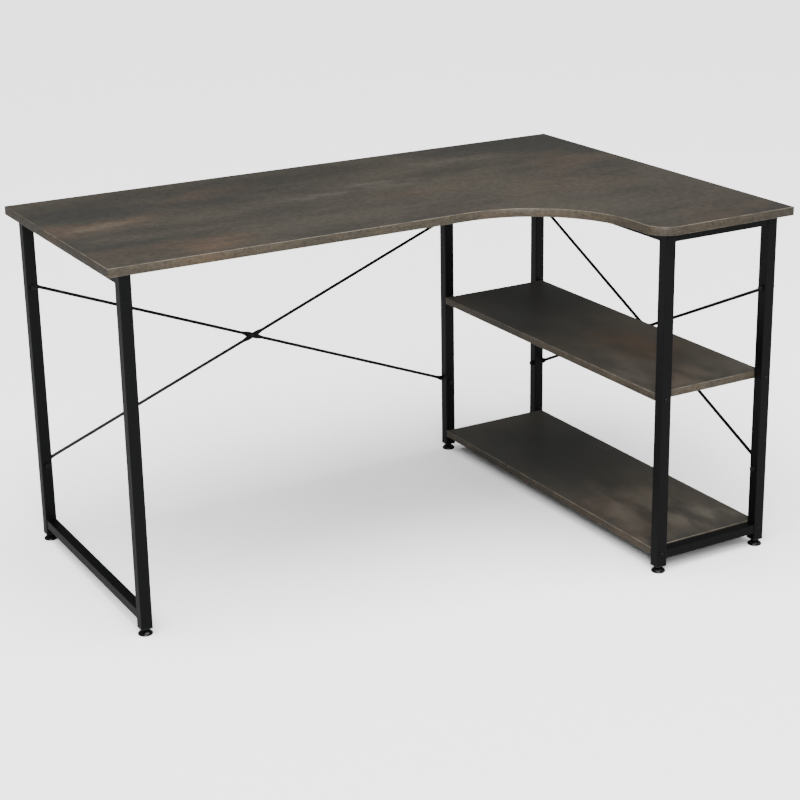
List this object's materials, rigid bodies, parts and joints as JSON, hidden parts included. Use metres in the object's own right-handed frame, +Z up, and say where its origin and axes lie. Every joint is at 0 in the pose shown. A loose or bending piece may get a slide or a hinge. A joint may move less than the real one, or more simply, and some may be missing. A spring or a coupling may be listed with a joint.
{
  "type": "corner desk",
  "caption": "L-shaped corner desk with a concave sweep in front, black square-tube legs, open shelves under the return, crossed brace rods and screw-in levelling feet.",
  "frame": {"origin": "on the floor, under the middle of the desk's overall length and depth", "axes": "+X along the long side towards the return, +Y towards the back, +Z up"},
  "size_m": [1.35, 0.9, 0.75],
  "materials": {
    "board": "dark rust-brown melamine with a matt, slightly grained face",
    "powder_coat": "matt black powder coat",
    "black_zinc": "black zinc-plated steel",
    "black_plastic": "glossy black moulded plastic"
  },
  "bodies": {
    "desk": {"desktop": "board", "lower_shelf": "board", "lower_shelf_screw_inner_front": "black_zinc", "lower_shelf_screw_inner_rear": "black_zinc", "lower_shelf_screw_outer_front": "black_zinc", "lower_shelf_screw_outer_rear": "black_zinc", "plug_inner_front": "black_plastic", "plug_inner_rear": "black_plastic", "plug_left_front": "black_plastic", "plug_left_rear": "black_plastic", "plug_outer_front": "black_plastic", "plug_outer_rear": "black_plastic", "post_inner_front": "powder_coat", "post_inner_rear": "powder_coat", "post_left_front": "powder_coat", "post_left_rear": "powder_coat", "post_outer_front": "powder_coat", "post_outer_rear": "powder_coat", "rail_left_bottom": "powder_coat", "rail_left_top": "powder_coat", "rail_unit_front_bottom": "powder_coat", "rail_unit_front_top": "powder_coat", "rail_unit_inner_top": "powder_coat", "rail_unit_outer_top": "powder_coat", "rail_unit_rear_top": "powder_coat", "rear_brace_cross_bolt": "black_zinc", "rear_brace_cross_nut": "black_zinc", "rear_brace_left_high_bolt": "black_zinc", "rear_brace_left_high_nut": "black_zinc", "rear_brace_left_low_bolt": "black_zinc", "rear_brace_left_low_nut": "black_zinc", "rear_brace_right_high_bolt": "black_zinc", "rear_brace_right_high_nut": "black_zinc", "rear_brace_right_low_bolt": "black_zinc", "rear_brace_right_low_nut": "black_zinc", "rear_brace_rod_a": "powder_coat", "rear_brace_rod_b": "powder_coat", "side_brace_cross_bolt": "black_zinc", "side_brace_cross_nut": "black_zinc", "side_brace_front_high_bolt": "black_zinc", "side_brace_front_high_nut": "black_zinc", "side_brace_front_low_bolt": "black_zinc", "side_brace_front_low_nut": "black_zinc", "side_brace_rear_high_bolt": "black_zinc", "side_brace_rear_high_nut": "black_zinc", "side_brace_rear_low_bolt": "black_zinc", "side_brace_rear_low_nut": "black_zinc", "side_brace_rod_a": "powder_coat", "side_brace_rod_b": "powder_coat", "upper_shelf": "board", "upper_shelf_screw_inner_front": "black_zinc", "upper_shelf_screw_inner_rear": "black_zinc", "upper_shelf_screw_outer_front": "black_zinc", "upper_shelf_screw_outer_rear": "black_zinc"},
    "left_rear_foot": {"foot_left_rear": "black_plastic"},
    "left_front_foot": {"foot_left_front": "black_plastic"},
    "inner_rear_foot": {"foot_inner_rear": "black_plastic"},
    "outer_rear_foot": {"foot_outer_rear": "black_plastic"},
    "inner_front_foot": {"foot_inner_front": "black_plastic"},
    "outer_front_foot": {"foot_outer_front": "black_plastic"}
  },
  "joints": [
    {"name": "left_rear_foot_height", "type": "slide", "parent": "desk", "child": "left_rear_foot", "axis": [0, 0, -1], "range_m": [0, 0.01]},
    {"name": "left_front_foot_height", "type": "slide", "parent": "desk", "child": "left_front_foot", "axis": [0, 0, -1], "range_m": [0, 0.01]},
    {"name": "inner_rear_foot_height", "type": "slide", "parent": "desk", "child": "inner_rear_foot", "axis": [0, 0, -1], "range_m": [0, 0.01]},
    {"name": "outer_rear_foot_height", "type": "slide", "parent": "desk", "child": "outer_rear_foot", "axis": [0, 0, -1], "range_m": [0, 0.01]},
    {"name": "inner_front_foot_height", "type": "slide", "parent": "desk", "child": "inner_front_foot", "axis": [0, 0, -1], "range_m": [0, 0.01]},
    {"name": "outer_front_foot_height", "type": "slide", "parent": "desk", "child": "outer_front_foot", "axis": [0, 0, -1], "range_m": [0, 0.01]}
  ]
}
